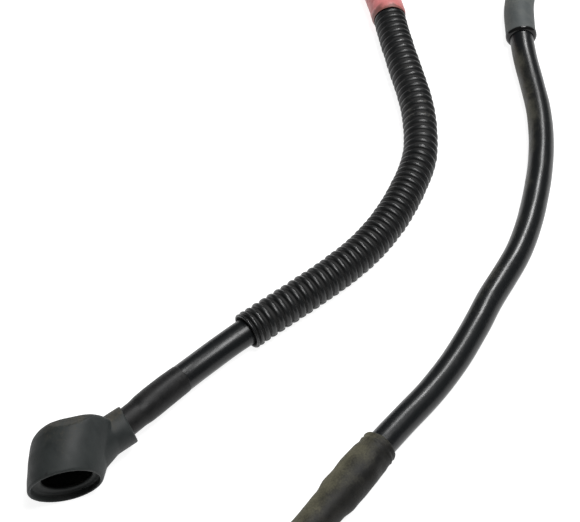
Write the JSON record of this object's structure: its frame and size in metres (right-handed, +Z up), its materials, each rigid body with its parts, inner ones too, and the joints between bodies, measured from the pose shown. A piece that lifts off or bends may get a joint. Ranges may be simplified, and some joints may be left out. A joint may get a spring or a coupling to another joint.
{
  "type": "battery cable",
  "caption": "Thick black battery cable lying in a hairpin, with split loom, shrink sleeves, a rubber terminal boot and a ring lug at each end.",
  "frame": {"origin": "on the floor, under the middle of the part's box", "axes": "+X to the right of the picture, +Y away from the viewer along the hairpin towards its loop, +Z up"},
  "size_m": [0.3757, 0.69, 0.0491],
  "materials": {
    "cable_jacket": "satin black jacket with khaki dust",
    "loom_plastic": "ribbed black plastic, scuffed",
    "red_shrink": "faded red shrink tube",
    "grey_shrink": "dusty grey shrink tube with a glossy lip",
    "dusty_shrink": "black shrink tube under olive dust",
    "black_shrink": "smooth dull black shrink tube",
    "boot_rubber": "matt dark grey-green rubber, dusty",
    "tinned_metal": "dull tinned copper"
  },
  "bodies": {
    "root": {"cable": "cable_jacket", "split_loom": "loom_plastic", "red_sleeve": "red_shrink", "grey_sleeve": "grey_shrink", "lug_sleeve": "dusty_shrink", "barrel_sleeve": "black_shrink", "terminal_boot": "boot_rubber", "boot_lug": "tinned_metal", "far_lug": "tinned_metal"}
  },
  "joints": []
}
